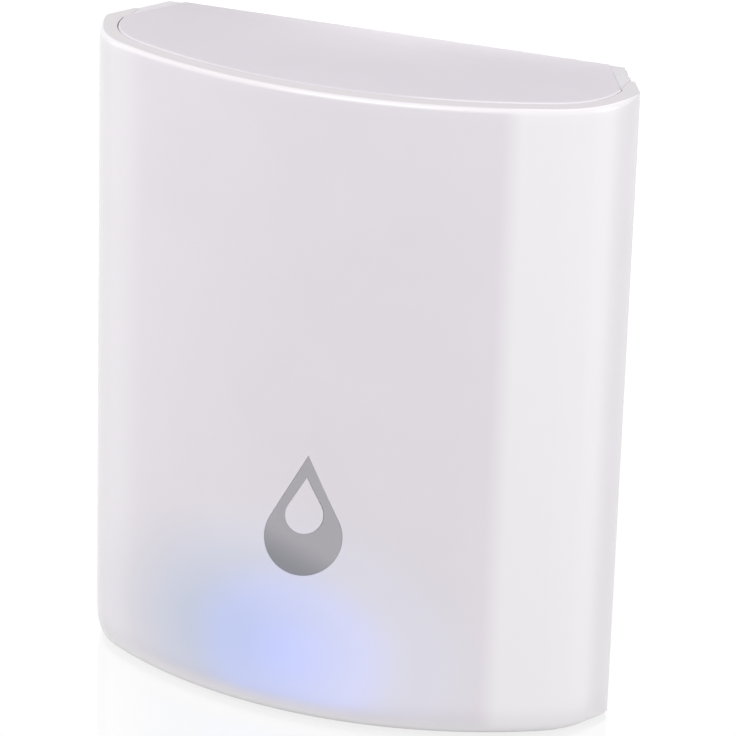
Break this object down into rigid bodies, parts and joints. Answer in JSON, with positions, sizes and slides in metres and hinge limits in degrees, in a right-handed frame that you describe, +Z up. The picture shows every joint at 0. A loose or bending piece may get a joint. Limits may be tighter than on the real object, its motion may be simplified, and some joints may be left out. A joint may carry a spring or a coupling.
{
  "type": "water leak sensor",
  "caption": "Small battery-run box that stands on the floor and senses water with metal contacts under its base.",
  "frame": {"origin": "under the middle of the box, on the floor that its feet rest on", "axes": "+Z up, the curved front with the drop figure faces -Y, the flat back faces +Y"},
  "size_m": [0.06, 0.023, 0.0712],
  "materials": {
    "pearl_white": "glossy, slightly translucent",
    "rear_white": "satin",
    "cap_white": "fine matt texture",
    "base_white": "fine matt texture",
    "door_white": "satin",
    "grey_silicone": "soft",
    "silver_plate": "satin",
    "clear_plastic": "clear",
    "green_board": "solder mask",
    "blue_lamp": "lit",
    "tinned_can": "tinned",
    "black_epoxy": "moulded",
    "grey_ferrite": "sintered",
    "ochre_epoxy": "moulded",
    "gilt_strip": "gold flash",
    "black_sounder": "moulded",
    "nickel_plate": "plated",
    "cell_jacket": "printed sleeve, plain here",
    "stainless_probe": "polished",
    "black_header": "moulded",
    "black_rubber": "soft",
    "zinc_screw": "zinc plated"
  },
  "bodies": {
    "root": {"antenna": "gilt_strip", "base_plate": "base_white", "base_seal": "grey_silicone", "battery_cell_1": "cell_jacket", "battery_cell_2": "cell_jacket", "battery_door": "door_white", "board_header": "black_header", "board_screw_1": "zinc_screw", "board_screw_2": "zinc_screw", "board_screw_3": "zinc_screw", "board_screw_4": "zinc_screw", "cap_seal": "grey_silicone", "case_screw_1": "zinc_screw", "case_screw_2": "zinc_screw", "case_screw_3": "zinc_screw", "case_screw_4": "zinc_screw", "circuit_board": "green_board", "contact_plate_bridge": "nickel_plate", "contact_plate_negative": "nickel_plate", "contact_plate_positive": "nickel_plate", "contact_spring_lower": "nickel_plate", "contact_spring_upper": "nickel_plate", "door_screw": "zinc_screw", "drop_emblem": "silver_plate", "foot_pad_1": "black_rubber", "foot_pad_2": "black_rubber", "foot_pad_3": "black_rubber", "foot_pad_4": "black_rubber", "front_shell": "pearl_white", "light_guide": "clear_plastic", "main_chip": "black_epoxy", "power_coil": "grey_ferrite", "probe_board": "green_board", "radio_module": "tinned_can", "rear_cover": "rear_white", "sounder": "black_sounder", "status_led": "blue_lamp", "supply_capacitor": "ochre_epoxy", "top_cap": "cap_white", "water_probe_1": "stainless_probe", "water_probe_2": "stainless_probe"}
  },
  "joints": []
}
